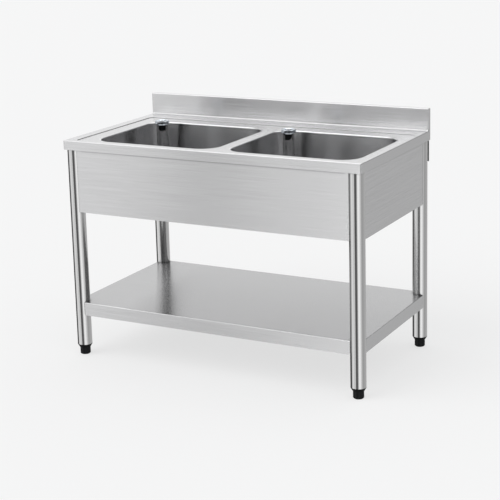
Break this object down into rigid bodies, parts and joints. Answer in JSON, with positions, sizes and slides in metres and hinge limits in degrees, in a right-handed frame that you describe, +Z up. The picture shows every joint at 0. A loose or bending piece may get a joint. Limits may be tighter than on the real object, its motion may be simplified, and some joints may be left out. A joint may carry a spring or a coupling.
{
  "type": "catering sink unit",
  "caption": "Free-standing stainless catering sink on tube legs: worktop with upstand, pressed bowls with lift-out overflow pipes, aprons, undershelf and screw feet.",
  "frame": {"origin": "on the floor, under the centre of the unit's footprint", "axes": "+X to the user's right along the front, +Y from the user towards the upstand, +Z up"},
  "size_m": [1.2, 0.65, 0.92],
  "materials": {
    "brushed_stainless": "stainless sheet with a fine linear brushing",
    "polished_tube": "bright polished stainless tube",
    "bright_chrome": "bright chrome plate",
    "zinc_plated_steel": "bright zinc plate",
    "black_plastic": "moulded black polyamide, fine satin",
    "black_rubber": "moulded rubber"
  },
  "bodies": {
    "unit": {"worktop": "brushed_stainless", "left_bowl": "brushed_stainless", "right_bowl": "brushed_stainless", "front_apron": "brushed_stainless", "left_apron": "brushed_stainless", "right_apron": "brushed_stainless", "rear_rail": "brushed_stainless", "worktop_rib": "brushed_stainless", "undershelf": "brushed_stainless", "shelf_rib": "brushed_stainless", "leg_front_left": "polished_tube", "leg_socket_front_left": "zinc_plated_steel", "shelf_saddle_front_left": "brushed_stainless", "foot_insert_front_left": "black_plastic", "leg_front_right": "polished_tube", "leg_socket_front_right": "zinc_plated_steel", "shelf_saddle_front_right": "brushed_stainless", "foot_insert_front_right": "black_plastic", "leg_rear_right": "polished_tube", "leg_socket_rear_right": "zinc_plated_steel", "shelf_saddle_rear_right": "brushed_stainless", "foot_insert_rear_right": "black_plastic", "leg_rear_left": "polished_tube", "leg_socket_rear_left": "zinc_plated_steel", "shelf_saddle_rear_left": "brushed_stainless", "foot_insert_rear_left": "black_plastic", "shelf_bolts": "zinc_plated_steel", "leg_rivet_nuts": "zinc_plated_steel", "socket_set_screws": "zinc_plated_steel", "waste_flange_left": "bright_chrome", "waste_gasket_left": "black_rubber", "waste_nut_left": "black_plastic", "waste_tail_left": "black_plastic", "waste_flange_right": "bright_chrome", "waste_gasket_right": "black_rubber", "waste_nut_right": "black_plastic", "waste_tail_right": "black_plastic"},
    "foot_base_front_left": {"foot_base_front_left": "black_plastic"},
    "foot_stud_front_left": {"foot_stud_front_left": "zinc_plated_steel"},
    "foot_base_front_right": {"foot_base_front_right": "black_plastic"},
    "foot_stud_front_right": {"foot_stud_front_right": "zinc_plated_steel"},
    "foot_base_rear_right": {"foot_base_rear_right": "black_plastic"},
    "foot_stud_rear_right": {"foot_stud_rear_right": "zinc_plated_steel"},
    "foot_base_rear_left": {"foot_base_rear_left": "black_plastic"},
    "foot_stud_rear_left": {"foot_stud_rear_left": "zinc_plated_steel"},
    "overflow_left": {"overflow_pipe_left": "polished_tube", "overflow_plug_left": "black_rubber", "overflow_core_left": "black_plastic", "overflow_crown_left": "bright_chrome"},
    "overflow_right": {"overflow_pipe_right": "polished_tube", "overflow_plug_right": "black_rubber", "overflow_core_right": "black_plastic", "overflow_crown_right": "bright_chrome"}
  },
  "joints": [
    {"name": "foot_front_left_height", "type": "slide", "parent": "unit", "child": "foot_stud_front_left", "axis": [0, 0, -1], "range_m": [0, 0.03]},
    {"name": "foot_front_left_turn", "type": "hinge", "parent": "foot_stud_front_left", "child": "foot_base_front_left", "pos_m": [-0.57, -0.295, 0], "axis": [0, 0, -1], "range_deg": [0, 6171]},
    {"name": "foot_front_right_height", "type": "slide", "parent": "unit", "child": "foot_stud_front_right", "axis": [0, 0, -1], "range_m": [0, 0.03]},
    {"name": "foot_front_right_turn", "type": "hinge", "parent": "foot_stud_front_right", "child": "foot_base_front_right", "pos_m": [0.57, -0.295, 0], "axis": [0, 0, -1], "range_deg": [0, 6171]},
    {"name": "foot_rear_right_height", "type": "slide", "parent": "unit", "child": "foot_stud_rear_right", "axis": [0, 0, -1], "range_m": [0, 0.03]},
    {"name": "foot_rear_right_turn", "type": "hinge", "parent": "foot_stud_rear_right", "child": "foot_base_rear_right", "pos_m": [0.57, 0.295, 0], "axis": [0, 0, -1], "range_deg": [0, 6171]},
    {"name": "foot_rear_left_height", "type": "slide", "parent": "unit", "child": "foot_stud_rear_left", "axis": [0, 0, -1], "range_m": [0, 0.03]},
    {"name": "foot_rear_left_turn", "type": "hinge", "parent": "foot_stud_rear_left", "child": "foot_base_rear_left", "pos_m": [-0.57, 0.295, 0], "axis": [0, 0, -1], "range_deg": [0, 6171]},
    {"name": "overflow_left_lift", "type": "slide", "parent": "unit", "child": "overflow_left", "axis": [0, 0, 1], "range_m": [0, 0.3]},
    {"name": "overflow_right_lift", "type": "slide", "parent": "unit", "child": "overflow_right", "axis": [0, 0, 1], "range_m": [0, 0.3]}
  ],
  "couplings": [
    {"joint": "foot_front_left_height", "follows": "foot_front_left_turn", "m_per_rad": 0.00027852},
    {"joint": "foot_front_right_height", "follows": "foot_front_right_turn", "m_per_rad": 0.00027852},
    {"joint": "foot_rear_right_height", "follows": "foot_rear_right_turn", "m_per_rad": 0.00027852},
    {"joint": "foot_rear_left_height", "follows": "foot_rear_left_turn", "m_per_rad": 0.00027852}
  ]
}
